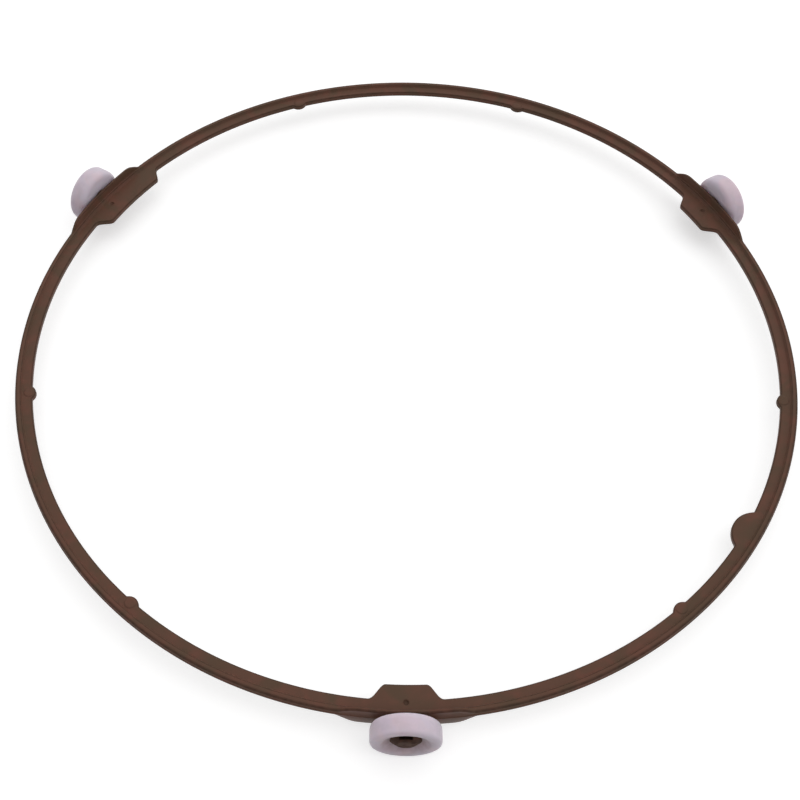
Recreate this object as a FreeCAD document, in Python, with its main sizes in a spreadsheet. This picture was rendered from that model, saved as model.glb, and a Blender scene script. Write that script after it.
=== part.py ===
"""Roller ring for a microwave oven turntable.

One brown moulding carries three white wheels on radial stub axles. The wheels stand on the oven
floor (z = 0) and the glass tray lies on their tops. The origin is the ring's centre on the floor,
+Z is up and the front wheel is at -Y. Each body is drawn with its wheel station along its own +X
and then turned about Z to its place.
"""
import FreeCAD, Part
import math
import os

import Sketcher

os.makedirs("parts", exist_ok=True)
doc = FreeCAD.newDocument("roller_ring")

# Driving sizes in millimetres, angles in degrees
SIZES = {
    "front_angle": 270,            # bearing of the front wheel about Z
    "ring_radius": 110.0,          # outside of the ring, at the mould parting line
    "band_width": 4.65,            # ring section, inner edge to outer edge
    "band_height": 2.4,            # ring section, underside to top of the rim
    "rim_width": 2.1,              # raised outer rim, measured at its foot
    "rim_rise": 0.8,               # rim top above the inner flange
    "rim_slope": 0.4,              # run of the rim's sloping inner side
    "rim_round": 0.35,             # rounding of the rim's outer top edge
    "wall_draft": 0.2,             # lean of the outer wall, above and below the parting line
    "parting_step": 0.15,          # step of the outer wall at the parting line
    "plate_inset": 0.2,            # outer face of an axle plate inside the ring's outside
    "plate_thickness": 1.0,
    "plate_rise": 3.75,            # top edge of an axle plate above the parting line
    "plate_drop": 4.3,             # its lower edge below the parting line
    "plate_flat": 25.4,            # straight top edge of an axle plate
    "plate_foot": 36.0,            # axle plate length at the parting line, where its ramps run out
    "plate_corner": 4.0,           # rounding between the top edge and a ramp
    "tab_reach": 3.85,             # tab tip inside the ring's inner edge
    "tab_tip": 11.2,               # straight edge of a tab
    "tab_root": 16.6,              # tab length where it leaves the ring
    "tab_extra": 5.95,             # angle that the back left tab runs on along the ring
    "tab_corner": 1.2,             # rounding of the tab's tip corners
    "tab_fillet": 1.5,             # fillet between a tab and the ring
    "nub_diameter": 5.0,           # ejector nubs on the inner edge
    "nub_reach": 1.05,             # nub inside the ring's inner edge
    "nub_angle": 40.0,             # nub bearing to each side of a wheel
    "gate_diameter": 1.5,          # sunk spots where the plastic entered the mould
    "gate_depth": 0.3,
    "gate_inset": 1.9,             # gate spot inside the rim's foot
    "pad_radius": 6.9,             # round marking pad on the inner edge
    "pad_reach": 3.25,             # marking pad inside the ring's inner edge
    "pad_angle": 56.2,             # marking pad bearing from the front wheel
    "wheel_diameter": 17.0,
    "wheel_width": 5.2,
    "wheel_round": 0.9,            # rounding of the tread's edges, by two bevels each
    "dish_diameter": 12.2,         # mouth of the dish in the wheel's outer face
    "dish_floor_diameter": 8.8,
    "dish_depth": 1.4,
    "axle_diameter": 5.0,
    "axle_clearance": 0.08,        # between axle and bore, on the radius
    "axle_rise": 0.5,              # axle above the middle of the ring section
    "end_float": 1.1,              # how far a wheel can slide along its axle
    "rest_gap": 0.1,               # left at the end that a wheel has slid to
    "shoulder_diameter": 6.4,      # boss that holds the wheel off the plate
    "shoulder_reach": 0.05,        # boss face outside the ring
    "head_diameter": 7.6,          # tapered snap head that keeps the wheel on
    "head_land": 0.2,              # straight part of the head, next to the wheel
    "head_taper": 1.05,            # length of its taper
    "head_tip": 4.4,               # diameter of its end face
    "hollow_width": 3.1,           # pocket in the top of the axle, which lets the head spring
    "hollow_length": 2.6,
    "hollow_wall": 0.45,           # end wall of the pocket
    "hollow_sink": 0.6,            # pocket floor below the axle's line
}

# Sizes that follow from the driving ones
DERIVED = {
    "tread_radius": "wheel_diameter / 2",
    "axle_height": "tread_radius",
    "parting_height": "axle_height - axle_rise",
    "band_top": "parting_height + band_height / 2",
    "band_bottom": "parting_height - band_height / 2",
    "flange_top": "band_top - rim_rise",
    "flange_thickness": "flange_top - band_bottom",
    "band_inner": "ring_radius - band_width",
    "rim_foot": "ring_radius - rim_width",
    "upper_wall": "ring_radius - parting_step",
    "plate_outer": "ring_radius - plate_inset",
    "plate_inner": "plate_outer - plate_thickness",
    "plate_top": "parting_height + plate_rise",
    "plate_bottom": "parting_height - plate_drop",
    "tab_end": "band_inner - tab_reach",
    "tab_seat": "(band_inner + rim_foot) / 2",
    "gate_radius": "rim_foot - gate_inset",
    "bevel_meet": "wheel_round * (1 - sqrt(0.5))",
    "hub_length": "wheel_width - dish_depth",
    "shoulder_face": "ring_radius + shoulder_reach",
    "head_face": "shoulder_face + hub_length + end_float",
    "head_end": "head_face + head_land + head_taper",
    "slid_in": "shoulder_face + rest_gap",
    "slid_out": "head_face - rest_gap - hub_length",
    "hollow_end": "head_end - hollow_wall",
}

WHEELS = 3
STATION_STEP = 360 / WHEELS
# Each wheel lies at one end of its play: the front one slid out, the back ones slid in
WHEEL_RESTS = {"front_wheel": "slid_out", "back_right_wheel": "slid_in", "back_left_wheel": "slid_in"}

sheet = doc.addObject("Spreadsheet::Sheet", "sizes")
for row, (alias, number) in enumerate(SIZES.items(), start=1):
    sheet.set("A%d" % row, str(number))
    sheet.setAlias("A%d" % row, alias)
for row, (alias, formula) in enumerate(DERIVED.items(), start=1):
    sheet.set("B%d" % row, "=" + formula)
    sheet.setAlias("B%d" % row, alias)
doc.recompute()


def new_body(name):
    """Makes a body that is named, and later saved, as one piece of the object."""
    body = doc.addObject("PartDesign::Body", name)
    body.Label = name
    return body


def new_sketch(body, name, plane):
    """Makes a sketch on one of the body's own origin planes."""
    sketch = body.newObject("Sketcher::SketchObject", name)
    support = next(feature for feature in body.Origin.OriginFeatures if feature.Role == plane)
    sketch.AttachmentSupport = [(support, "")]
    sketch.MapMode = "FlatFace"
    return sketch


def place_point(sketch, geometry, vertex, x, y):
    """Holds a point of the sketch at x, y, both expressions of the sheet's sizes."""
    for kind, expression in (("DistanceX", x), ("DistanceY", y)):
        distance = float(sketch.evalExpression(expression))
        constraint = sketch.addConstraint(Sketcher.Constraint(kind, -1, 1, geometry, vertex, distance))
        sketch.setExpression("Constraints[%d]" % constraint, expression)


def hold_radius(sketch, geometry, expression):
    """Holds the radius of a circle or arc at an expression of the sheet's sizes."""
    radius = float(sketch.evalExpression(expression))
    constraint = sketch.addConstraint(Sketcher.Constraint("Radius", geometry, radius))
    sketch.setExpression("Constraints[%d]" % constraint, expression)


def draw_circle(sketch, x, y, radius):
    """Draws a circle whose centre and radius are expressions."""
    centre = FreeCAD.Vector(sketch.evalExpression(x), sketch.evalExpression(y), 0)
    circle = Part.Circle(centre, FreeCAD.Vector(0, 0, 1), float(sketch.evalExpression(radius)))
    geometry = sketch.addGeometry(circle, False)
    place_point(sketch, geometry, 3, x, y)
    hold_radius(sketch, geometry, radius)


def round_corner(sketch, corner, before, after, side_in, side_out):
    """Joins two sides by a tangent arc; the sharp corner stays as a construction point."""
    x, y, radius_expression = corner
    point = FreeCAD.Vector(sketch.evalExpression(x), sketch.evalExpression(y), 0)
    radius = float(sketch.evalExpression(radius_expression))
    to_before = (before - point).normalize()
    to_after = (after - point).normalize()
    half_angle = to_before.getAngle(to_after) / 2
    bisector = (to_before + to_after).normalize()
    centre = point + bisector * (radius / math.sin(half_angle))
    first = point + to_before * (radius / math.tan(half_angle)) - centre
    last = point + to_after * (radius / math.tan(half_angle)) - centre
    turns_left = to_after.cross(to_before).z > 0
    begin, end = (first, last) if turns_left else (last, first)
    begin_angle = math.atan2(begin.y, begin.x)
    end_angle = math.atan2(end.y, end.x)
    circle = Part.Circle(centre, FreeCAD.Vector(0, 0, 1), radius)
    arc = sketch.addGeometry(Part.ArcOfCircle(circle, begin_angle, end_angle), False)
    arc_in, arc_out = (1, 2) if turns_left else (2, 1)
    sketch.addConstraint(Sketcher.Constraint("Tangent", side_in, 2, arc, arc_in))
    sketch.addConstraint(Sketcher.Constraint("Tangent", arc, arc_out, side_out, 1))
    hold_radius(sketch, arc, radius_expression)
    sharp = sketch.addGeometry(Part.Point(point), True)
    sketch.addConstraint(Sketcher.Constraint("PointOnObject", sharp, 1, side_in))
    sketch.addConstraint(Sketcher.Constraint("PointOnObject", sharp, 1, side_out))
    place_point(sketch, sharp, 1, x, y)


def draw_outline(sketch, corners):
    """Draws a closed outline through corners (x, y) or, where it is rounded, (x, y, radius)."""
    points = []
    cuts = []
    for corner in corners:
        points.append(FreeCAD.Vector(sketch.evalExpression(corner[0]), sketch.evalExpression(corner[1]), 0))
    for index, corner in enumerate(corners):
        cut = 0.0
        if len(corner) == 3:
            to_before = points[index - 1] - points[index]
            to_after = points[(index + 1) % len(points)] - points[index]
            cut = float(sketch.evalExpression(corner[2])) / math.tan(to_before.getAngle(to_after) / 2)
        cuts.append(cut)
    sides = []
    for index, point in enumerate(points):
        following = (index + 1) % len(points)
        direction = (points[following] - point).normalize()
        start = point + direction * cuts[index]
        stop = points[following] - direction * cuts[following]
        sides.append(sketch.addGeometry(Part.LineSegment(start, stop), False))
    for index, corner in enumerate(corners):
        side_in, side_out = sides[index - 1], sides[index]
        if len(corner) == 3:
            after = points[(index + 1) % len(points)]
            round_corner(sketch, corner, points[index - 1], after, side_in, side_out)
        else:
            sketch.addConstraint(Sketcher.Constraint("Coincident", side_in, 2, side_out, 1))
            place_point(sketch, side_out, 1, corner[0], corner[1])


def revolve(body, kind, name, sketch, axis):
    """Turns a sketch right round one of its own axes, to add or to cut."""
    feature = body.newObject(kind, name)
    feature.Profile = sketch
    feature.ReferenceAxis = (sketch, [axis])
    feature.Angle = 360
    return feature


def pad(body, name, sketch, length):
    """Pads a sketch by a length given as an expression."""
    feature = body.newObject("PartDesign::Pad", name)
    feature.Profile = sketch
    feature.setExpression("Length", length)
    return feature


def repeat(body, name, features, angle, count):
    """Repeats features about Z and makes the pattern the body's result."""
    pattern = body.newObject("PartDesign::PolarPattern", name)
    pattern.Originals = features
    z_axis = next(feature for feature in body.Origin.OriginFeatures if feature.Role == "Z_Axis")
    pattern.Axis = (z_axis, [""])
    pattern.Angle = angle
    pattern.Occurrences = count
    body.Tip = pattern
    return pattern


def add_axle_plates(body):
    """Three upright plates in the ring's curve: a hexagon with rounded top and bottom, trimmed round."""
    outline = new_sketch(body, "plate_outline", "YZ_Plane")
    outline.setExpression("AttachmentOffset.Base.z", "sizes.band_inner - sizes.band_width")
    draw_outline(outline, [
        ("sizes.plate_foot / 2", "sizes.parting_height"),
        ("sizes.plate_flat / 2", "sizes.plate_top", "sizes.plate_corner"),
        ("-sizes.plate_flat / 2", "sizes.plate_top", "sizes.plate_corner"),
        ("-sizes.plate_foot / 2", "sizes.parting_height"),
        ("-sizes.plate_flat / 2", "sizes.plate_bottom", "sizes.plate_corner"),
        ("sizes.plate_flat / 2", "sizes.plate_bottom", "sizes.plate_corner"),
    ])
    blank = pad(body, "plate_blank", outline, "3 * sizes.band_width")
    repeat(body, "plate_blanks", [blank], 360, WHEELS)
    waste = new_sketch(body, "plate_waste", "XZ_Plane")
    low = "sizes.plate_bottom - sizes.band_height"
    high = "sizes.plate_top + sizes.band_height"
    inmost = "sizes.band_inner - 2 * sizes.band_width"
    outmost = "sizes.ring_radius + 2 * sizes.band_width"
    for near, far in ((inmost, "sizes.plate_inner"), ("sizes.plate_outer", outmost)):
        draw_outline(waste, [(near, low), (far, low), (far, high), (near, high)])
    revolve(body, "PartDesign::Groove", "plate_trim", waste, "V_Axis")


def add_band(body):
    """The ring itself: a low inner flange and a raised outer rim."""
    section = new_sketch(body, "band_section", "XZ_Plane")
    draw_outline(section, [
        ("sizes.band_inner", "sizes.band_bottom"),
        ("sizes.ring_radius - sizes.wall_draft", "sizes.band_bottom"),
        ("sizes.ring_radius", "sizes.parting_height"),
        ("sizes.upper_wall", "sizes.parting_height"),
        ("sizes.upper_wall - sizes.wall_draft", "sizes.band_top", "sizes.rim_round"),
        ("sizes.rim_foot + sizes.rim_slope", "sizes.band_top"),
        ("sizes.rim_foot", "sizes.flange_top"),
        ("sizes.band_inner", "sizes.flange_top"),
    ])
    revolve(body, "PartDesign::Revolution", "band", section, "V_Axis")


def turned_on(corner, angle):
    """The mirror image of an outline's corner, turned on along the ring by an angle."""
    x, y = corner[0], corner[1]
    rear_x = "{0} * cos({2}) - {1} * sin({2})".format(x, y, angle)
    rear_y = "-({0} * sin({2}) + {1} * cos({2}))".format(x, y, angle)
    return (rear_x, rear_y) + corner[2:]


def add_tab(body, name, extra, tip_bend):
    """A trapezoid tab on the flange at the first wheel, its rear side turned on by extra."""
    outline = new_sketch(body, name + "_outline", "XY_Plane")
    outline.setExpression("AttachmentOffset.Base.z", "sizes.band_bottom")
    half_root = "sizes.tab_root / 2"
    front_side = [
        ("sizes.tab_seat", half_root),
        ("sqrt(sizes.band_inner ^ 2 - (%s) ^ 2)" % half_root, half_root),
        ("sizes.tab_end", "sizes.tab_tip / 2", "sizes.tab_corner"),
    ]
    rear_side = [turned_on(corner, extra) for corner in reversed(front_side)]
    draw_outline(outline, front_side + tip_bend + rear_side)
    return outline, pad(body, name, outline, "sizes.flange_thickness")


def tab_root_edges(shape):
    """The upright edges where the tabs leave the ring's inner edge."""
    inner_edge = float(sheet.evalExpression("band_inner"))
    names = []
    for number, edge in enumerate(shape.Edges, start=1):
        start, stop = edge.Vertexes[0].Point, edge.Vertexes[-1].Point
        upright = math.hypot(stop.x - start.x, stop.y - start.y) < 1e-4 < abs(stop.z - start.z)
        if upright and abs(math.hypot(start.x, start.y) - inner_edge) < 0.02:
            names.append("Edge%d" % number)
    return names


def add_tabs(body):
    """Two plain tabs and the longer one of the back left wheel, whose tip follows the ring."""
    plain = add_tab(body, "tab", "0 deg", [])[1]
    repeat(body, "plain_tabs", [plain], STATION_STEP, WHEELS - 1)
    extra = "(sizes.tab_extra * 1 deg)"
    tip_bend = ("sizes.tab_end", "-sizes.tab_end * tan(%s / 2)" % extra, "sizes.tab_end")
    outline, long_tab = add_tab(body, "long_tab", extra, [tip_bend])
    outline.AttachmentOffset = FreeCAD.Placement(
        FreeCAD.Vector(), FreeCAD.Rotation(FreeCAD.Vector(0, 0, 1), STATION_STEP * (WHEELS - 1)))
    doc.recompute()
    roots = body.newObject("PartDesign::Fillet", "tab_roots")
    roots.Base = (long_tab, tab_root_edges(long_tab.Shape))
    roots.setExpression("Radius", "sizes.tab_fillet")


def add_nubs(body):
    """Round ejector nubs on the inner edge, one to each side of every wheel."""
    circles = new_sketch(body, "nub_circles", "XY_Plane")
    circles.setExpression("AttachmentOffset.Base.z", "sizes.band_bottom")
    bearing = "(sizes.band_inner - sizes.nub_reach + sizes.nub_diameter / 2)"
    for sign in ("", "-"):
        x = "%s * cos(sizes.nub_angle * 1 deg)" % bearing
        y = "%s%s * sin(sizes.nub_angle * 1 deg)" % (sign, bearing)
        draw_circle(circles, x, y, "sizes.nub_diameter / 2")
    pair = pad(body, "nub_pair", circles, "sizes.flange_thickness")
    repeat(body, "nubs", [pair], 360, WHEELS)


def add_gate_spots(body):
    """Shallow round spots in the flange, one abreast of every wheel."""
    spot = new_sketch(body, "gate_circle", "XY_Plane")
    spot.setExpression("AttachmentOffset.Base.z", "sizes.flange_top")
    draw_circle(spot, "sizes.gate_radius", "0", "sizes.gate_diameter / 2")
    gate = body.newObject("PartDesign::Pocket", "gate_spot")
    gate.Profile = spot
    gate.setExpression("Length", "sizes.gate_depth")
    repeat(body, "gate_spots", [gate], 360, WHEELS)


def add_marking_pad(body):
    """The round pad that bulges inwards beside the front wheel, left bare."""
    disc = new_sketch(body, "marking_disc", "XY_Plane")
    disc.setExpression("AttachmentOffset.Base.z", "sizes.band_bottom")
    disc.setExpression("AttachmentOffset.Rotation.Angle", "sizes.pad_angle")
    centre_x = "sizes.band_inner - sizes.pad_reach + sizes.pad_radius"
    draw_circle(disc, centre_x, "0", "sizes.pad_radius")
    pad(body, "marking_pad", disc, "sizes.flange_thickness")
    overhang = new_sketch(body, "marking_overhang", "XZ_Plane")
    draw_outline(overhang, [
        ("sizes.ring_radius", "sizes.band_bottom - sizes.band_height"),
        ("sizes.ring_radius + sizes.pad_radius * 2", "sizes.band_bottom - sizes.band_height"),
        ("sizes.ring_radius + sizes.pad_radius * 2", "sizes.band_top + sizes.band_height"),
        ("sizes.ring_radius", "sizes.band_top + sizes.band_height"),
    ])
    revolve(body, "PartDesign::Groove", "marking_trim", overhang, "V_Axis")


def add_axles(body):
    """Stub axles: shoulder, bearing length and a tapered snap head with a pocket open at the top."""
    section = new_sketch(body, "axle_section", "XZ_Plane")
    section.setExpression("AttachmentOffset.Base.y", "sizes.axle_height")
    seat = "(sizes.plate_inner + sizes.plate_outer) / 2"
    draw_outline(section, [
        (seat, "0"),
        ("sizes.head_end", "0"),
        ("sizes.head_end", "sizes.head_tip / 2"),
        ("sizes.head_face + sizes.head_land", "sizes.head_diameter / 2"),
        ("sizes.head_face", "sizes.head_diameter / 2"),
        ("sizes.head_face", "sizes.axle_diameter / 2"),
        ("sizes.shoulder_face", "sizes.axle_diameter / 2"),
        ("sizes.shoulder_face", "sizes.shoulder_diameter / 2"),
        (seat, "sizes.shoulder_diameter / 2"),
    ])
    axle = revolve(body, "PartDesign::Revolution", "axle", section, "H_Axis")
    doc.recompute()
    mouth = new_sketch(body, "hollow_mouth", "XY_Plane")
    mouth.setExpression("AttachmentOffset.Base.z", "sizes.axle_height + sizes.head_diameter")
    draw_outline(mouth, [
        ("sizes.hollow_end - sizes.hollow_length", "-sizes.hollow_width / 2"),
        ("sizes.hollow_end", "-sizes.hollow_width / 2"),
        ("sizes.hollow_end", "sizes.hollow_width / 2"),
        ("sizes.hollow_end - sizes.hollow_length", "sizes.hollow_width / 2"),
    ])
    hollow = body.newObject("PartDesign::Pocket", "hollow")
    hollow.Profile = mouth
    hollow.setExpression("Length", "sizes.head_diameter + sizes.hollow_sink")
    repeat(body, "axles", [axle, hollow], 360, WHEELS)


def make_ring_frame():
    """The brown moulding, drawn as one body."""
    body = new_body("ring_frame")
    add_axle_plates(body)
    add_band(body)
    add_tabs(body)
    add_nubs(body)
    add_gate_spots(body)
    add_marking_pad(body)
    add_axles(body)
    body.setExpression("Placement.Rotation.Angle", "sizes.front_angle")
    return body


def make_wheel(name, station, rest):
    """A white wheel turned about its axle, with a dished outer face round the snap head."""
    body = new_body(name)
    section = new_sketch(body, name + "_section", "XZ_Plane")
    bore = "sizes.axle_diameter / 2 + sizes.axle_clearance"
    inner_face = "sizes." + rest
    outer_face = inner_face + " + sizes.wheel_width"
    dish_floor = inner_face + " + sizes.hub_length"
    bevel_start = "sizes.tread_radius - sizes.wheel_round"
    bevel_middle = "sizes.tread_radius - sizes.bevel_meet"
    draw_outline(section, [
        (inner_face, bore),
        (dish_floor, bore),
        (dish_floor, "sizes.dish_floor_diameter / 2"),
        (outer_face, "sizes.dish_diameter / 2"),
        (outer_face, bevel_start),
        (outer_face + " - sizes.bevel_meet", bevel_middle),
        (outer_face + " - sizes.wheel_round", "sizes.tread_radius"),
        (inner_face + " + sizes.wheel_round", "sizes.tread_radius"),
        (inner_face + " + sizes.bevel_meet", bevel_middle),
        (inner_face, bevel_start),
    ])
    revolve(body, "PartDesign::Revolution", name + "_turning", section, "H_Axis")
    body.setExpression("Placement.Rotation.Angle", "sizes.front_angle + %g" % (station * STATION_STEP))
    body.setExpression("Placement.Base.z", "sizes.axle_height")
    return body


pieces = [make_ring_frame()]
for station, (wheel_name, rest) in enumerate(WHEEL_RESTS.items()):
    pieces.append(make_wheel(wheel_name, station, rest))
doc.recompute()

for item in doc.Objects:
    if "Invalid" in item.State or "Error" in item.State:
        raise RuntimeError("%s failed: %s" % (item.Name, item.State))
for piece in pieces:
    if piece.Shape.isNull() or not piece.Shape.isValid() or len(piece.Shape.Solids) != 1:
        raise RuntimeError("%s is not one valid solid" % piece.Label)
for piece in pieces:
    piece.Shape.exportStep("parts/%s.step" % piece.Label)
    box = piece.Shape.BoundBox
    print("%-18s %8.1f mm3  z %.2f to %.2f" % (piece.Label, piece.Shape.Volume, box.ZMin, box.ZMax))
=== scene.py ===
# %% [markdown]
# # A roller ring for a microwave oven
#
# A roller ring lies loose on the oven floor under the glass tray. One brown moulding holds three
# small pale wheels on stub axles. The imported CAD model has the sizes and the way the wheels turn.
# This lesson gives it the look of the real thing: softened moulded edges, plastic finishes, and a
# plain studio seen from the photograph's angle.

import bmesh
import bpy
import numpy as np
from mathutils import Matrix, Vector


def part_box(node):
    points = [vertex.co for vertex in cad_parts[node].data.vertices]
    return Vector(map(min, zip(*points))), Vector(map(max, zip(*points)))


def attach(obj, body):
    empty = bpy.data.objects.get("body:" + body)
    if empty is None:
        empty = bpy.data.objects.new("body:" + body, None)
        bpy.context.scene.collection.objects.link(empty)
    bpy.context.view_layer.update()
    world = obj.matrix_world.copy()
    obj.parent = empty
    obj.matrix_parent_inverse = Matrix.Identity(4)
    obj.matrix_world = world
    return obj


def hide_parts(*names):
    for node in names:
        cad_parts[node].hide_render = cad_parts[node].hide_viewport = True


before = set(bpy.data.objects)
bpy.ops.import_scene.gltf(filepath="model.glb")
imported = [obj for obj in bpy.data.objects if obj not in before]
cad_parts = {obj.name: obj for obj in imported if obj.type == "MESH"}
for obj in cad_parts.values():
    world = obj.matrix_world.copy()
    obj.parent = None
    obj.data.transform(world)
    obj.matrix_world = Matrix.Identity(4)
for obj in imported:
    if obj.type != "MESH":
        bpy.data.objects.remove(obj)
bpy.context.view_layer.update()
MM = 0.001

# %% [markdown]
# ## Sizes
#
# The scene works in millimetres and turns them into metres only when a mesh is made. Heights and
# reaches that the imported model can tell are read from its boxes. The rest are the ring's own
# dimensions, one name each, so a change is made in one place.

# %% Sizes of the ring and its wheels
ring_low, _ = (np.array(corner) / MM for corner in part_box("ring_frame"))
wheel_low, wheel_high = (np.array(corner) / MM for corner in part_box("front_wheel"))
STATIONS = {"wheel_front": 270.0, "wheel_back_right": 30.0, "wheel_back_left": 150.0}
LONG_TAB_STATION = STATIONS["wheel_back_left"]

PARTING_DROP, BAND_HALF_HEIGHT, FLANGE_STEP = 0.5, 1.2, 0.8
RING_RADIUS, BAND_WIDTH, RIM_WIDTH, RIM_LEAN = 110.0, 4.65, 2.1, 0.4
PARTING_STEP, WALL_DRAFT, PLATE_THICKNESS = 0.15, 0.2, 1.0

AXLE_HEIGHT = (wheel_low[2] + wheel_high[2]) / 2
TREAD_RADIUS = (wheel_high[2] - wheel_low[2]) / 2
HEAD_END = -ring_low[1]
PARTING_HEIGHT = AXLE_HEIGHT - PARTING_DROP
PLATE_RISE, PLATE_DROP = 3.75, PARTING_HEIGHT - ring_low[2]
BAND_TOP = PARTING_HEIGHT + BAND_HALF_HEIGHT
BAND_BOTTOM = PARTING_HEIGHT - BAND_HALF_HEIGHT
FLANGE_TOP = BAND_TOP - FLANGE_STEP
BAND_INNER = RING_RADIUS - BAND_WIDTH
RIM_FOOT = RING_RADIUS - RIM_WIDTH
RIM_TOP_INNER = RIM_FOOT + RIM_LEAN
UPPER_WALL = RING_RADIUS - PARTING_STEP
RIM_TOP_OUTER = UPPER_WALL - WALL_DRAFT
PLATE_OUTER = RING_RADIUS - WALL_DRAFT
PLATE_INNER = PLATE_OUTER - PLATE_THICKNESS
print("axle at %.2f mm, parting line at %.2f mm" % (AXLE_HEIGHT, PARTING_HEIGHT))
print("snap heads end at %.2f mm" % HEAD_END)

# %% [markdown]
# ## Tools for surfaces
#
# Every shape here is a grid of points: one parameter runs along a path, the other round a section.
# Three helpers are enough. The first rounds the corners of a polygon with short parabolas, the
# second numbers the four-sided faces of a grid, and the third puts points and faces into a mesh and
# welds points that fall on each other, which closes poles and seams.

# %% Helpers
def rounded(corners, cuts, counts, most=0.45):
    """Rounds each corner K of closed polygons (batch, corner, 2) with a parabola.

    The parabola runs from a point short of K on one side to a point short of K on the other:
    P(t) = (1-t)^2 A + 2t(1-t) K + t^2 B. A cut never takes more than the share most of a side.
    """
    to_before = np.roll(corners, 1, axis=1) - corners
    to_after = np.roll(corners, -1, axis=1) - corners
    length_before = np.linalg.norm(to_before, axis=2)
    length_after = np.linalg.norm(to_after, axis=2)
    cut = np.minimum(np.asarray(cuts, float), np.asarray(most) * np.minimum(length_before, length_after))
    start = corners + to_before * (cut / np.maximum(length_before, 1e-9))[..., None]
    stop = corners + to_after * (cut / np.maximum(length_after, 1e-9))[..., None]
    arcs = []
    for index, count in enumerate(counts):
        t = np.linspace(0, 1, count)[None, :, None]
        first, middle, last = (values[:, index, None] for values in (start, corners, stop))
        arcs.append((1 - t) ** 2 * first + 2 * t * (1 - t) * middle + t ** 2 * last)
    return arcs


def grid_faces(rows, columns, wrap_rows=True):
    """Four corner numbers for each face of a grid of points.

    The last column always joins the first, and the last row does where wrap_rows is set.
    """
    row = np.arange(rows if wrap_rows else rows - 1)[:, None]
    column = np.arange(columns)[None, :]
    next_row, next_column = (row + 1) % rows, (column + 1) % columns
    sides = (row * columns + column, row * columns + next_column,
             next_row * columns + next_column, next_row * columns + column)
    return np.stack(sides, axis=-1).reshape(-1, 4)


def make_piece(name, shells, attributes):
    """One object from shells (points in mm, list of faces), with attributes of a number per point."""
    points, faces, first = [], [], 0
    for shell_points, shell_faces in shells:
        points.append(shell_points.reshape(-1, 3) * MM)
        faces.extend([[number + first for number in face] for face in shell_faces])
        first += len(points[-1])
    mesh = bpy.data.meshes.new(name)
    mesh.from_pydata(np.concatenate(points), [], faces)
    for key, values in attributes.items():
        layer = mesh.attributes.new(key, "FLOAT", "POINT")
        flat = np.concatenate([part.ravel() for part in values])
        layer.data.foreach_set("value", flat.astype(np.float32))
    welded = bmesh.new()
    welded.from_mesh(mesh)
    bmesh.ops.remove_doubles(welded, verts=welded.verts, dist=1e-6)
    volume = welded.calc_volume(signed=True) / MM ** 3
    welded.to_mesh(mesh)
    welded.free()
    mesh.shade_smooth()
    piece = bpy.data.objects.new(name, mesh)
    bpy.context.scene.collection.objects.link(piece)
    print("%s: %d faces, %.0f mm3" % (name, len(mesh.polygons), volume))
    return piece


# %% [markdown]
# ## The ring's outline
#
# Seen from above, the inner edge is a circle with a tab beside each wheel, six round nubs where pins
# pushed the moulding out, and one round pad. Each is a radius written as a function of the bearing,
# and the smallest radius wins. A blended minimum or maximum, instead of a hard one, gives the
# moulded fillets. The upright plates are treated the same way, as a reach above and below the
# parting line.

# %% Inner edge and plates as functions of the bearing
TAB_REACH, TAB_TIP, TAB_ROOT, TAB_EXTRA = 3.85, 11.2, 16.6, 5.95
TAB_TIP_RADIUS = BAND_INNER - TAB_REACH
NUB_RADIUS, NUB_REACH, NUB_BEARING = 2.5, 1.05, 40.0
PAD_RADIUS, PAD_REACH, PAD_TURN = 6.9, 3.25, 56.2
PAD_BEARING = STATIONS["wheel_front"] + PAD_TURN
PLATE_FLAT, PLATE_FOOT, PLATE_CORNER = 25.4, 36.0, 1.05
TAB_BLEND, TAB_CORNER, NUB_BLEND, PAD_BLEND, PLATE_BLEND = 1.3, 1.0, 0.3, 0.4, 0.25
# Turns are held within these limits, in radians, because the formulas go wrong beyond them.
TAB_TURN_LIMIT, PLATE_TURN_LIMIT, DISC_TURN_LIMIT = 0.35, 0.5, 1.5
nub_bearings = [station + side * NUB_BEARING for station in STATIONS.values() for side in (-1, 1)]


def turn_from(bearing, station):
    """Signed turn from a station, in radians."""
    return np.deg2rad((bearing - station + 180) % 360 - 180)


def blend_min(first, second, reach):
    """The smaller of two heights, with a smooth change-over where they differ by less than reach."""
    share = np.clip(0.5 + 0.5 * (second - first) / reach, 0, 1)
    return second + (first - second) * share - reach * share * (1 - share)


def blend_max(first, second, reach):
    """The larger of two heights, with the same smooth change-over."""
    return -blend_min(-first, -second, reach)


def tab_side(turn, tip, root):
    """Radius at which a ray meets the straight side from (tip radius, tip) to the ring at (x, root)."""
    run = np.sqrt(BAND_INNER ** 2 - root ** 2) - TAB_TIP_RADIUS
    rise = root - tip
    return (TAB_TIP_RADIUS * rise - tip * run) / (np.cos(turn) * rise - np.sin(turn) * run)


def tab_edge(turn, extra):
    """Radius of a tab's edge: a round tip between two slanting sides.

    The rear side is turned further round by extra degrees.
    """
    limits = -TAB_TURN_LIMIT, TAB_TURN_LIMIT
    front = tab_side(np.clip(turn, *limits), TAB_TIP / 2, TAB_ROOT / 2)
    rear = tab_side(np.clip(-turn - np.deg2rad(extra), *limits), TAB_TIP / 2, TAB_ROOT / 2)
    tip = np.full_like(turn, TAB_TIP_RADIUS)
    return blend_max(blend_max(tip, front, TAB_CORNER), rear, TAB_CORNER)


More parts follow.
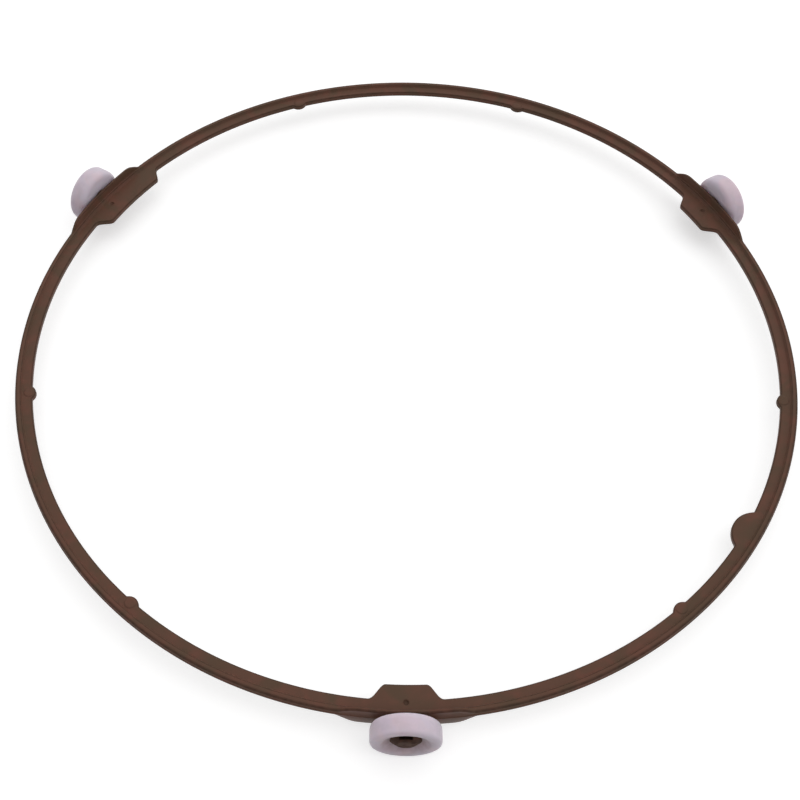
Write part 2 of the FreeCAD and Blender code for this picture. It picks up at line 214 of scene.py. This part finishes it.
def disc_edge(turn, radius, reach):
    """Radius of the near side of a disc that stands reach inside the inner edge.

    With its centre at distance c and radius r it is c cos(a) - sqrt(r2 - c2 sin2(a)), and c beside
    the disc.
    """
    centre = BAND_INNER - reach + radius
    side = centre * np.sin(np.clip(turn, -DISC_TURN_LIMIT, DISC_TURN_LIMIT))
    chord = np.sqrt(np.maximum(radius ** 2 - side ** 2, 0))
    return np.where(np.abs(side) < radius, centre * np.cos(turn) - chord, centre)


def inner_edge(bearing):
    """Radius of the ring's inner edge."""
    edge = np.full_like(bearing, BAND_INNER)
    for station in STATIONS.values():
        extra = TAB_EXTRA if station == LONG_TAB_STATION else 0.0
        edge = blend_min(edge, tab_edge(turn_from(bearing, station), extra), TAB_BLEND)
    for nub in nub_bearings:
        edge = blend_min(edge, disc_edge(turn_from(bearing, nub), NUB_RADIUS, NUB_REACH), NUB_BLEND)
    pad = disc_edge(turn_from(bearing, PAD_BEARING), PAD_RADIUS, PAD_REACH)
    return blend_min(edge, pad, PAD_BLEND)


def plate_reach(bearing, reach):
    """Reach of the ring above or below its parting line: level, but ramping to a plate at each wheel."""
    slope = reach / ((PLATE_FOOT - PLATE_FLAT) / 2)
    edge = np.full_like(bearing, BAND_TOP - PARTING_HEIGHT)
    for station in STATIONS.values():
        turn = np.clip(turn_from(bearing, station), -PLATE_TURN_LIMIT, PLATE_TURN_LIMIT)
        ramp = slope * (PLATE_FOOT / 2 - PLATE_INNER * np.abs(np.sin(turn)))
        plate = blend_min(np.full_like(ramp, reach), ramp, PLATE_CORNER)
        edge = blend_max(edge, plate, PLATE_BLEND)
    return edge


def spread_bearings(count):
    """Bearings round the ring, closer together where the outline changes, by inverting a summed density.

    Each window is a middle bearing, half a width in degrees and the density that it adds.
    """
    fine = np.linspace(0, 360, 36001)
    density = np.full_like(fine, 0.5)
    windows = [(station, 12.5, 3.0) for station in STATIONS.values()]
    windows += [(station, 0.7, 6.0) for station in STATIONS.values()]
    windows += [(nub, 1.7, 5.0) for nub in nub_bearings]
    windows += [(PAD_BEARING, 4.2, 2.0)]
    for centre, half_width, weight in windows:
        density += weight * (np.abs(np.rad2deg(turn_from(fine, centre))) < half_width)
    summed = np.concatenate([[0], np.cumsum((density[1:] + density[:-1]) / 2)])
    return np.interp(np.linspace(0, summed[-1], count, endpoint=False), summed, fine)


bearings = spread_bearings(1200)
print("inner edge from %.2f to %.2f mm" % (inner_edge(bearings).min(), inner_edge(bearings).max()))

# %% [markdown]
# ## The ring's section
#
# The section is a polygon of twelve corners: inner edge, flange, sloping rim, plate, outer wall with
# its mould parting step, and underside. Away from the plates some corners fall together and are
# welded later. The rounded corners matter most for the look. They turn to face every way, so each
# picks up a thin light or dark line from the room, which is how the eye reads moulded plastic. A
# painted shade along the outward corners darkens that line further.
#
# The flange gets extra points across it, for the small sunk gate where plastic entered the mould and
# for the faint raised discs that the ejector pins left on the nubs. The gate spots are coloured
# darker, and a ring of painted shade runs round the edge of each disc.

# %% The ring as one swept surface
# The gate spots are coloured darker; the pin discs' edges and the outward edges get painted shade.
GATE_RADIUS, GATE_REACH, GATE_EDGE, GATE_DEPTH, GATE_DARKENING = RIM_FOOT - 1.9, 0.75, 0.25, 0.45, 0.35
PIN_RADIUS, PIN_REACH, PIN_EDGE, PIN_HEIGHT, PIN_PAINTED_SHADE = BAND_INNER + 0.6, 1.7, 0.4, 0.16, 0.3
EDGE_PAINTED_SHADE = 0.6
CORNER_CUTS = (0.3, 0.45, 0.15, 0.2, 0.3, 0.3, 0.65, 0.06, 0.1, 0.4, 0.4, 0.3)
CORNER_MOST = (0.45, 0.45, 0.45, 0.45, 0.45, 0.45, 0.75, 0.2, 0.45, 0.45, 0.45, 0.45)
CORNER_COUNTS = (4, 5, 4, 5, 3, 5, 6, 2, 3, 4, 4, 3)
OUTWARD_CORNERS = (0, 1, 3, 5, 6, 8, 9, 10)
PLATE_CORNERS = (5, 10)
PLATE_SHOWS = 0.8
FLANGE_SHARES = np.concatenate([
    [0.08, 0.18, 0.32, 0.45, 0.53], np.arange(0.57, 0.85, 0.03), [0.87, 0.91, 0.95, 0.98]])


def soft_disc(distance, reach, edge):
    """1 inside a disc and 0 outside, with a smooth change over the edge's width."""
    share = np.clip((reach - distance) / edge, 0, 1)
    return share * share * (3 - 2 * share)


def flange_marks(bearing, radius):
    """Height of the gate spots and ejector discs on the flange; darker gate spots and painted shade round
    the discs.
    """
    marks, dust_and_shade = np.zeros_like(radius), np.zeros_like(radius)
    for station in STATIONS.values():
        side = radius * turn_from(bearing, station)[:, None]
        spot = soft_disc(np.hypot(radius - GATE_RADIUS, side), GATE_REACH, GATE_EDGE)
        marks -= GATE_DEPTH * spot
        dust_and_shade += GATE_DARKENING * spot
    for nub in nub_bearings:
        side = radius * turn_from(bearing, nub)[:, None]
        disc = soft_disc(np.hypot(radius - PIN_RADIUS, side), PIN_REACH, PIN_EDGE)
        marks += PIN_HEIGHT * disc
        # A ring of painted shade round the disc's edge, where its step is shaded.
        dust_and_shade += PIN_PAINTED_SHADE * 4 * disc * (1 - disc)
    return marks, dust_and_shade


def ring_surface(bearing):
    """P(bearing, s) = (r cos, r sin, z), where (r, z) runs round the rounded section.

    Also gives masks of the outward edges and of the darkening: painted shade along those edges and
    round the pin discs, and the darker gate spots. The plate's own corners count as edges only
    where the plate stands up.
    """
    inner = inner_edge(bearing)
    top = PARTING_HEIGHT + plate_reach(bearing, PLATE_RISE)
    bottom = PARTING_HEIGHT - plate_reach(bearing, PLATE_DROP)
    raised = np.clip((top - BAND_TOP) / PLATE_SHOWS, 0, 1)
    outer_top = RIM_TOP_OUTER + (PLATE_OUTER - RIM_TOP_OUTER) * raised
    section = [
        (inner, BAND_BOTTOM), (inner, FLANGE_TOP), (RIM_FOOT, FLANGE_TOP),
        (RIM_TOP_INNER, BAND_TOP), (PLATE_INNER, BAND_TOP), (PLATE_INNER, top),
        (outer_top, top), (UPPER_WALL, PARTING_HEIGHT), (RING_RADIUS, PARTING_HEIGHT),
        (PLATE_OUTER, bottom), (PLATE_INNER, bottom), (PLATE_INNER, BAND_BOTTOM),
    ]
    filled = [np.broadcast_arrays(radius, height, inner)[:2] for radius, height in section]
    corners = np.stack([np.stack(corner, -1) for corner in filled], 1)
    arcs = rounded(corners, CORNER_CUTS, CORNER_COUNTS, CORNER_MOST)
    shares = FLANGE_SHARES[None, :, None]
    flange = arcs[1][:, -1:] * (1 - shares) + arcs[2][:, :1] * shares
    marks, marks_dust_and_shade = flange_marks(bearing, flange[..., 0])
    flange[..., 1] += marks
    outline = np.concatenate(arcs[:2] + [flange] + arcs[2:], axis=1)
    masks = []
    for index, count in enumerate(CORNER_COUNTS):
        t = np.linspace(0, 1, count)
        hump = 4 * t * (1 - t) * (index in OUTWARD_CORNERS)
        stands = raised[:, None] if index in PLATE_CORNERS else np.ones((len(bearing), 1))
        masks.append(hump * stands)
    masks.insert(2, np.zeros(flange.shape[:2]))
    edges = np.concatenate(masks, 1)
    # Painted shade along the outward edges, added to the flange marks' darkening.
    dust_and_shade = EDGE_PAINTED_SHADE * edges
    first = sum(CORNER_COUNTS[:2])
    dust_and_shade[:, first:first + flange.shape[1]] += marks_dust_and_shade
    angle = np.deg2rad(bearing)[:, None]
    radius, height = outline[..., 0], outline[..., 1]
    points = np.stack([radius * np.cos(angle), radius * np.sin(angle), height], -1)
    return points, edges, dust_and_shade


ring_points, ring_edges, ring_dust_and_shade = ring_surface(bearings)
ring_shell = (ring_points, grid_faces(*ring_points.shape[:2]).tolist())
print("ring grid:", ring_points.shape[:2])

# %% [markdown]
# ## Stub axles
#
# Each axle is a shoulder that holds the wheel off the plate, a bearing length, and a tapered snap
# head. A pocket, open at the top, lets the head spring together while the wheel is pushed over it. A
# modeller would cut the pocket with a boolean. Here the axle is a section carried along its line
# instead: a circle with a notch, and the notch is simply empty where the pocket ends. That keeps the
# mesh clean, because every face belongs to one grid.

# %% Axles with their snap heads
SHOULDER_STEP, HEAD_LENGTH, TAPER_LENGTH, HOLLOW_WALL, HOLLOW_LENGTH = 0.05, 1.25, 1.05, 0.45, 2.6
SHOULDER_FACE = RING_RADIUS + SHOULDER_STEP
HEAD_FACE, HEAD_TAPER_START = HEAD_END - HEAD_LENGTH, HEAD_END - TAPER_LENGTH
AXLE_RADIUS, SHOULDER_RADIUS, HEAD_RADIUS, TIP_RADIUS = 2.5, 3.2, 3.8, 2.2
HOLLOW_END = HEAD_END - HOLLOW_WALL
HOLLOW_START = HOLLOW_END - HOLLOW_LENGTH
HOLLOW_HALF_WIDTH, HOLLOW_SINK = 1.55, 0.6
# The axles are coloured dark all over, partly as dust and partly as painted shade in the wheels' dishes.
AXLE_DUST_AND_SHADE, AXLE_COLUMNS, OPENING_LIMIT = 0.75, 72, 0.9


def at_station(station, along, sideways, up):
    """Points given along the axle, sideways and up from its line, put at their place on the ring."""
    angle = np.deg2rad(station)
    x = along * np.cos(angle) - sideways * np.sin(angle)
    y = along * np.sin(angle) + sideways * np.cos(angle)
    return np.stack(np.broadcast_arrays(x, y, AXLE_HEIGHT + up), -1)


def axle_profile():
    """The axle's radius along its line, with rounded corners, and 1 where it has the pocket's notch."""
    seat = (PLATE_INNER + PLATE_OUTER) / 2
    taper = (HOLLOW_END - HEAD_TAPER_START) / (HEAD_END - HEAD_TAPER_START)
    end_radius = HEAD_RADIUS + (TIP_RADIUS - HEAD_RADIUS) * taper
    corners = np.array([[
        (seat, 0), (seat, SHOULDER_RADIUS), (SHOULDER_FACE, SHOULDER_RADIUS),
        (SHOULDER_FACE, AXLE_RADIUS), (HOLLOW_START, AXLE_RADIUS), (HEAD_FACE, AXLE_RADIUS),
        (HEAD_FACE, HEAD_RADIUS), (HEAD_TAPER_START, HEAD_RADIUS), (HOLLOW_END, end_radius),
        (HEAD_END, TIP_RADIUS), (HEAD_END, 0)]])
    cuts = (0, 0, 0.15, 0.15, 0, 0.1, 0.08, 0.2, 0, 0.3, 0)
    counts = (1, 1, 4, 4, 2, 4, 4, 5, 2, 6, 1)
    along, radius = np.concatenate(rounded(corners, cuts, counts), axis=1)[0].T
    # Each end of the pocket has two rows at one place, of which only the inner one has the notch.
    row = np.arange(len(along))
    notch = (row > sum(counts[:4])) & (row <= sum(counts[:8]))
    return along, radius, notch.astype(float)


def axle_shell(station):
    """P(a, s): at a along the axle a circle of radius R(a), cut at the top by a notch of half width w.

    The circle runs from the notch's one edge, at asin(w / R) from the top, round to the other. From
    there s goes down the notch's wall, across its floor and up again. Along and round make a grid
    that faces inward, so the order of each face's corners is turned about.
    """
    along, radius, notch = (values[:, None] for values in axle_profile())
    opening = np.arcsin(np.minimum(HOLLOW_HALF_WIDTH / np.maximum(radius, 1e-9), OPENING_LIMIT))
    turn = opening + (2 * np.pi - 2 * opening) * np.linspace(0, 1, AXLE_COLUMNS)
    side_share = np.array([-1, -1, -0.5, 0, 0.5, 1, 1])
    depth_share = np.array([0.5, 1, 1, 1, 1, 1, 0.5])
    notch_side = radius * np.sin(opening) * side_share
    surface = np.sqrt(np.maximum(radius ** 2 - notch_side ** 2, 0))
    notch_up = surface + notch * depth_share * (-HOLLOW_SINK - surface)
    sideways = np.concatenate([radius * np.sin(turn), notch_side], axis=1)
    up = np.concatenate([radius * np.cos(turn), notch_up], axis=1)
    points = at_station(station, along, sideways, up)
    return points, grid_faces(*points.shape[:2], wrap_rows=False)[:, ::-1].tolist()


shells, edge_masks, dust_and_shade_masks = [ring_shell], [ring_edges], [ring_dust_and_shade]
for station in STATIONS.values():
    shells.append(axle_shell(station))
    edge_masks.append(np.zeros(shells[-1][0].shape[:2]))
    dust_and_shade_masks.append(np.full(shells[-1][0].shape[:2], AXLE_DUST_AND_SHADE))
ring_moulding = make_piece("ring_moulding", shells, {"edge": edge_masks, "dust_and_shade": dust_and_shade_masks})
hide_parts("ring_frame")
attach(ring_moulding, "ring")

# %% [markdown]
# ## Wheels
#
# A wheel is one profile turned round its axle: bore, hub, a dish that leaves room for the snap head,
# a flat face and a tread with well rounded edges. Its place along the axle comes from the packed
# model, because each wheel has slid to one end of its play.

# %% The three wheels
WHEEL_WIDTH = wheel_high[1] - wheel_low[1]
BORE_CLEARANCE, DISH_DEPTH, TREAD_FADE, WHEEL_COLUMNS = 0.08, 1.4, 0.4, 128
BORE_RADIUS = AXLE_RADIUS + BORE_CLEARANCE
HUB_LENGTH = WHEEL_WIDTH - DISH_DEPTH
DISH_FLOOR_RADIUS, DISH_RADIUS = 4.4, 6.1
WHEEL_CUTS, WHEEL_COUNTS = (0.25, 0.2, 0.7, 0.6, 1.25, 1.9), (4, 4, 7, 7, 11, 11)
# The dish round the hub is coloured darker and redder, partly as dust and partly as painted shade.
HUB_DUST_AND_SHADE, HUB_DARKENING_REACH = 0.75, TREAD_RADIUS - 0.8


def wheel_shell(station, inner_face):
    """P(angle, s) = closed rounded profile (along, radius) turned round the axle.

    Also gives masks of the tread, and of dust with painted shade from the hub outwards on the dished side.
    """
    outer_face, dish_floor = inner_face + WHEEL_WIDTH, inner_face + HUB_LENGTH
    corners = np.array([[
        (inner_face, BORE_RADIUS), (dish_floor, BORE_RADIUS), (dish_floor, DISH_FLOOR_RADIUS),
        (outer_face, DISH_RADIUS), (outer_face, TREAD_RADIUS), (inner_face, TREAD_RADIUS)]])
    arcs = rounded(corners, WHEEL_CUTS, WHEEL_COUNTS)
    along, radius = np.concatenate(arcs, axis=1)[0].T
    angle = np.linspace(0, 2 * np.pi, WHEEL_COLUMNS, endpoint=False)[:, None]
    points = at_station(station, along, radius * np.cos(angle), radius * np.sin(angle))
    tread = np.tile(np.clip((radius - TREAD_RADIUS) / TREAD_FADE + 1, 0, 1), (len(angle), 1))
    near = HUB_DUST_AND_SHADE * np.clip((HUB_DARKENING_REACH - radius) / (HUB_DARKENING_REACH - BORE_RADIUS), 0, 1)
    near = np.tile(near * (along > inner_face + HUB_LENGTH / 2), (len(angle), 1))
    return (points, grid_faces(*points.shape[:2]).tolist()), {"tread": [tread], "dust_and_shade": [near]}


wheels = {}
for body, station in STATIONS.items():
    node = "_".join(body.split("_")[1:] + ["wheel"])
    vertices = np.array([vertex.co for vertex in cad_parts[node].data.vertices]) / MM
    direction = np.array([np.cos(np.deg2rad(station)), np.sin(np.deg2rad(station)), 0])
    shell, masks = wheel_shell(station, (vertices @ direction).min())
    wheels[body] = make_piece(node + "_turned", [shell], masks)
    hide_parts(node)
    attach(wheels[body], body)

# %% [markdown]
# ## Effects that both plastics share
#
# Moulded plastic is never one flat colour. Pigment drifts a little as it flows, the skin has a fine
# grain, and handling leaves dull scuffs. One dark colour stands for dust round the axles and also
# paints shade there, in the wheels' dishes, round the ejector discs and along the edges, and it
# darkens the gate spots. Each effect is a node group, built once and used by both materials with
# their own values. The patterns read Object coordinates, which stay put on the piece, and masks
# that were made with the shapes.

# %% Node groups
def add_node(tree, kind, inputs=None, **settings):
    """Adds a node, sets its properties, and fills its inputs with values or links from other sockets."""
    made = tree.nodes.new(kind)
    for key, value in settings.items():
        setattr(made, key, value)
    for key, value in (inputs or {}).items():
        if isinstance(value, bpy.types.NodeSocket):
            tree.links.new(value, made.inputs[key])
        else:
            made.inputs[key].default_value = value
    return made


def new_group(name, inputs, outputs):
    """A shader node group with named inputs (name, kind, value) and outputs (name, kind)."""
    group = bpy.data.node_groups.new(name, "ShaderNodeTree")
    for key, kind, value in inputs:
        socket = group.interface.new_socket(key, in_out="INPUT", socket_type=kind)
        socket.default_value = value
    for key, kind in outputs:
        group.interface.new_socket(key, in_out="OUTPUT", socket_type=kind)
    return group, group.nodes.new("NodeGroupInput").outputs, group.nodes.new("NodeGroupOutput").inputs


def noise(tree, scale, detail, distortion=0.0):
    """Noise over the piece's own coordinates, in metres."""
    place = add_node(tree, "ShaderNodeTexCoord").outputs["Object"]
    settings = {"Vector": place, "Scale": scale, "Detail": detail, "Distortion": distortion}
    return add_node(tree, "ShaderNodeTexNoise", settings).outputs["Fac"]


def remap(tree, value, low, high, to_low=0.0, to_high=1.0):
    """Stretches the part of a value between low and high, smoothly, to another range."""
    inputs = {"Value": value, "From Min": low, "From Max": high, "To Min": to_low, "To Max": to_high}
    return add_node(tree, "ShaderNodeMapRange", inputs, interpolation_type="SMOOTHSTEP").outputs["Result"]


def calculate(tree, operation, *values):
    """A sum, product or other result of values and sockets."""
    return add_node(tree, "ShaderNodeMath", dict(enumerate(values)), operation=operation).outputs[0]


def mix_colours(tree, share, first, second):
    """A colour between two others. The mix node's colour sockets are numbers 6 and 7."""
    inputs = {0: share, 6: first, 7: second}
    return add_node(tree, "ShaderNodeMix", inputs, data_type="RGBA").outputs[2]


def pigment_drift():
    """Colour that wanders between three tones in soft clouds and flow streaks."""
    tones = [(name, "NodeSocketColor", (0.5, 0.5, 0.5, 1)) for name in ("Main", "Warm", "Cool")]
    group, given, result = new_group(
        "pigment_drift", tones + [("Scale", "NodeSocketFloat", 90.0)], [("Color", "NodeSocketColor")])
    clouds = remap(group, noise(group, given["Scale"], 3.0, 0.6), 0.4, 0.66)
    broad = calculate(group, "MULTIPLY", given["Scale"], 0.37)
    streaks = remap(group, noise(group, broad, 4.0, 1.5), 0.42, 0.64)
    warmed = mix_colours(group, clouds, given["Main"], given["Warm"])
    group.links.new(mix_colours(group, streaks, warmed, given["Cool"]), result["Color"])
    return group


def moulded_skin():
    """Height of the skin of a moulding: a fine grain over slow waves."""
    group, given, result = new_group(
        "moulded_skin",
        [("Grain Scale", "NodeSocketFloat", 2500.0), ("Wave Scale", "NodeSocketFloat", 160.0)],
        [("Height", "NodeSocketFloat")])
    grain = noise(group, given["Grain Scale"], 2.0)
    wave = noise(group, given["Wave Scale"], 2.0)
    group.links.new(calculate(group, "MULTIPLY_ADD", grain, 0.35, wave), result["Height"])
    return group


def handling_scuffs():
    """A mask of dull scuffs, thickest where the piece is exposed."""
    group, given, result = new_group(
        "handling_scuffs", [("Exposed", "NodeSocketFloat", 0.0), ("Scale", "NodeSocketFloat", 500.0)],
        [("Mask", "NodeSocketFloat")])
    patches = remap(group, noise(group, given["Scale"], 5.0), 0.42, 0.62)
    reach = calculate(group, "MULTIPLY_ADD", given["Exposed"], 0.85, 0.15)
    group.links.new(calculate(group, "MULTIPLY", patches, reach), result["Mask"])
    return group


def dust_and_painted_shade():
    """Colour darkened in uneven patches where the mask is high, for dust and for painted shade; also its
    share.
    """
    group, given, result = new_group(
        "dust_and_painted_shade",
        [("Color", "NodeSocketColor", (0.5, 0.5, 0.5, 1)), ("Near", "NodeSocketFloat", 0.0),
         ("Dust and Shade", "NodeSocketColor", (0.03, 0.015, 0.01, 1)), ("Scale", "NodeSocketFloat", 700.0)],
        [("Color", "NodeSocketColor"), ("Mask", "NodeSocketFloat")])
    patches = remap(group, noise(group, given["Scale"], 3.0), 0.3, 0.7, 0.6, 1.0)
    share = calculate(group, "MULTIPLY", patches, given["Near"])
    group.links.new(mix_colours(group, share, given["Color"], given["Dust and Shade"]), result["Color"])
    group.links.new(share, result["Mask"])
    return group


drift_group, skin_group = pigment_drift(), moulded_skin()
scuff_group, dust_and_shade_group = handling_scuffs(), dust_and_painted_shade()
print("node groups:", [group.name for group in bpy.data.node_groups])

# %% [markdown]
# ## The two plastics
#
# The ring is a brown heat-resistant plastic with a satin skin. Its gloss is kept low, because much
# gloss would turn every wall that faces the pale floor grey. The wheels are a pale, slightly lilac
# plastic with a waxy look. Light goes a few millimetres into such plastic before it comes out again,
# which softens the step from lit to shaded faces, so their shader has some subsurface scattering.

# %% Materials
def add_group(tree, group, inputs):
    """Places a node group in a material with its own values."""
    return add_node(tree, "ShaderNodeGroup", inputs, node_tree=group)


def plastic(name, tones, drift_scale, exposed, scuff_colour, scuff_share, dust_and_shade_colour, rough, bump):
    """A moulded plastic from the shared groups.

    The tones are (main, warm, cool) and rough is (clean, scuffed).
    """
    material = bpy.data.materials.new(name)
    material.use_nodes = True
    tree = material.node_tree
    shader = tree.nodes["Principled BSDF"]
    drift_inputs = dict(zip(("Main", "Warm", "Cool"), tones), Scale=drift_scale)
    drift = add_group(tree, drift_group, drift_inputs).outputs["Color"]
    mask = add_node(tree, "ShaderNodeAttribute", attribute_name=exposed).outputs["Fac"]
    scuffs = add_group(tree, scuff_group, {"Exposed": mask}).outputs["Mask"]
    shown = calculate(tree, "MULTIPLY", scuffs, scuff_share)
    scuffed = mix_colours(tree, shown, drift, scuff_colour)
    # A dark colour is mixed in by the darkening attribute: dust, and painted shade at edges, pin discs and
    # wheel dishes.
    near = add_node(tree, "ShaderNodeAttribute", attribute_name="dust_and_shade").outputs["Fac"]
    dusted_and_shaded = add_group(tree, dust_and_shade_group, {"Color": scuffed, "Near": near, "Dust and Shade": dust_and_shade_colour}).outputs
    tree.links.new(dusted_and_shaded["Color"], shader.inputs["Base Color"])
    worn = {0: dusted_and_shaded["Mask"], 1: DUST_AND_SHADE_ROUGHENS, 2: remap(tree, scuffs, 0.0, 1.0, *rough)}
    roughness = add_node(tree, "ShaderNodeMath", worn, operation="MULTIPLY_ADD", use_clamp=True)
    tree.links.new(roughness.outputs[0], shader.inputs["Roughness"])
    height = add_group(tree, skin_group, {}).outputs["Height"]
    bumped = add_node(tree, "ShaderNodeBump", {"Height": height, "Strength": bump, "Distance": SKIN_DEPTH})
    tree.links.new(bumped.outputs["Normal"], shader.inputs["Normal"])
    return material, shader


DUST_AND_SHADE_ROUGHENS, SKIN_DEPTH = 0.5, 0.00005
BROWN = ((0.117, 0.058, 0.038, 1), (0.138, 0.060, 0.040, 1), (0.100, 0.058, 0.036, 1))
LILAC = ((0.66, 0.565, 0.65, 1), (0.69, 0.565, 0.62, 1), (0.63, 0.565, 0.64, 1))
brown_plastic, brown_shader = plastic(
    "brown_plastic", BROWN, drift_scale=200.0, exposed="edge", scuff_colour=(0.16, 0.11, 0.09, 1),
    scuff_share=0.1, dust_and_shade_colour=(0.02, 0.011, 0.008, 1), rough=(0.42, 0.55), bump=0.25)
brown_shader.inputs["Specular IOR Level"].default_value = 0.12
# The wheels' darkening colour is reddish, a painted shade for the dish.
lilac_plastic, lilac_shader = plastic(
    "lilac_plastic", LILAC, drift_scale=140.0, exposed="tread", scuff_colour=(0.5, 0.45, 0.5, 1),
    scuff_share=0.18, dust_and_shade_colour=(0.22, 0.10, 0.075, 1), rough=(0.42, 0.6), bump=0.12)
lilac_shader.inputs["Specular IOR Level"].default_value = 0.3
lilac_shader.inputs["Subsurface Weight"].default_value = 0.6
lilac_shader.inputs["Subsurface Radius"].default_value = (1.0, 0.85, 0.95)
lilac_shader.inputs["Subsurface Scale"].default_value = 0.003
ring_moulding.data.materials.append(brown_plastic)
for wheel in wheels.values():
    wheel.data.materials.append(lilac_plastic)
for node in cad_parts.values():
    node.data.materials.clear()
    node.data.materials.append(brown_plastic if node.name == "ring_frame" else lilac_plastic)
print("materials:", brown_plastic.name, lilac_plastic.name)

# %% [markdown]
# ## Studio
#
# The light is a world of five soft glows: from above, from the back, from the upper right, and low
# from both sides. Area lamps would do as well, but a glow in the world has no edge that could show in
# the plastic. Each one is a cosine raised to a power. There is none straight in front, so walls
# that face the camera stay darker than the tops, as they do in the photograph. The floor is pale.
# To the camera and in reflections the floor is lifted and the world is plain white, so that the
# ground comes out white but still takes a soft shadow. The diffuse light on the ring stays as it is.

# %% World and floor
world = bpy.context.scene.world or bpy.data.worlds.new("studio")
bpy.context.scene.world = world
world.use_nodes = True
sky = world.node_tree
# Each soft light is the direction of its middle, how narrow it is, and its level.
SOFT_LIGHTS = (
    ((0.0, 0.0, 1.0), 6.0, 1.5), ((0.0, 1.0, 0.35), 4.0, 1.2), ((0.7, 0.0, 0.7), 8.0, 1.03),
    ((-1.0, -0.2, 0.25), 4.0, 0.75), ((1.0, -0.2, 0.25), 4.0, 0.75),
)
direction = add_node(sky, "ShaderNodeTexCoord").outputs["Generated"]


def soft_light(towards, narrow, level):
    """Strength of one soft light: level times the cosine to its middle, raised to the power narrow."""
    middle = tuple(np.array(towards) / np.linalg.norm(towards))
    inputs = {0: direction, 1: middle}
    cosine = add_node(sky, "ShaderNodeVectorMath", inputs, operation="DOT_PRODUCT").outputs["Value"]
    falloff = calculate(sky, "POWER", calculate(sky, "MAXIMUM", cosine, 0.0), narrow)
    return calculate(sky, "MULTIPLY", falloff, level)


def shown_rays(tree):
    """1 for rays that show the background: from the camera, in reflections and through clear pieces."""
    rays = add_node(tree, "ShaderNodeLightPath").outputs
    both = calculate(tree, "MAXIMUM", rays["Is Camera Ray"], rays["Is Glossy Ray"])
    return calculate(tree, "MAXIMUM", both, rays["Is Transmission Ray"])


strength = soft_light(*SOFT_LIGHTS[0])
for light in SOFT_LIGHTS[1:]:
    strength = calculate(sky, "ADD", strength, soft_light(*light))
strength = add_node(sky, "ShaderNodeMix", {0: shown_rays(sky), 2: strength, 3: 1.0}).outputs[0]
background = sky.nodes["Background"]
background.inputs["Color"].default_value = (1, 1, 1, 1)
sky.links.new(strength, background.inputs["Strength"])

FLOOR_HALF_SIZE = 3.0
FLOOR_LIFT = 0.54
floor_mesh = bpy.data.meshes.new("floor")
floor_signs = ((-1, -1), (1, -1), (1, 1), (-1, 1))
floor_corners = [(x * FLOOR_HALF_SIZE, y * FLOOR_HALF_SIZE, 0.0) for x, y in floor_signs]
floor_mesh.from_pydata(floor_corners, [], [(0, 1, 2, 3)])
floor = bpy.data.objects.new("floor", floor_mesh)
bpy.context.scene.collection.objects.link(floor)

paper = bpy.data.materials.new("white_paper")
paper.use_nodes = True
paper_shader = paper.node_tree.nodes["Principled BSDF"]
paper_shader.inputs["Base Color"].default_value = (0.66, 0.66, 0.66, 1)
paper_shader.inputs["Roughness"].default_value = 0.9
paper_shader.inputs["Emission Color"].default_value = (1, 1, 1, 1)
lift = calculate(paper.node_tree, "MULTIPLY", shown_rays(paper.node_tree), FLOOR_LIFT)
paper.node_tree.links.new(lift, paper_shader.inputs["Emission Strength"])
floor_mesh.materials.append(paper)
print("studio ready")

# %% [markdown]
# ## Camera
#
# A pinhole camera was fitted to the ring's edges in the photograph, and these are its numbers. The
# aim point lies on the plane of the rim's top. The fit had the ring turned by half a degree, so the
# camera is turned the other way round the ring instead.

# %% Camera at the photograph's angle
FOCAL_PIXELS, IMAGE_PIXELS = 1197.6, 800
ELEVATION, ROLL, RING_TURN = np.deg2rad([55.588, 1.104, 0.557])
DISTANCE = 329.81
AIM = np.array([-1.765, -20.225, BAND_TOP])

back = np.array([0, -np.cos(ELEVATION), np.sin(ELEVATION)])
level = np.array([1.0, 0, 0])
rise = np.cross(back, level)
right = np.cos(ROLL) * level + np.sin(ROLL) * rise
up = np.cos(ROLL) * rise - np.sin(ROLL) * level
turn_cos, turn_sin = np.cos(RING_TURN), np.sin(RING_TURN)
unturn = np.array([[turn_cos, turn_sin, 0], [-turn_sin, turn_cos, 0], [0, 0, 1]])
eye = unturn @ (AIM + back * DISTANCE) * MM
axes = unturn @ np.stack([right, up, back], axis=1)
camera = bpy.data.objects.new("camera", bpy.data.cameras.new("camera"))
camera.data.sensor_width = 36.0
camera.data.lens = FOCAL_PIXELS / IMAGE_PIXELS * camera.data.sensor_width
camera.data.clip_start = 0.01
camera.matrix_world = Matrix(np.vstack([np.column_stack([axes, eye]), [0, 0, 0, 1]]).tolist())
bpy.context.scene.collection.objects.link(camera)
bpy.context.scene.camera = camera
bpy.context.scene.view_settings.view_transform = "Standard"
print("lens %.2f mm, camera at" % camera.data.lens, np.round(eye, 4))
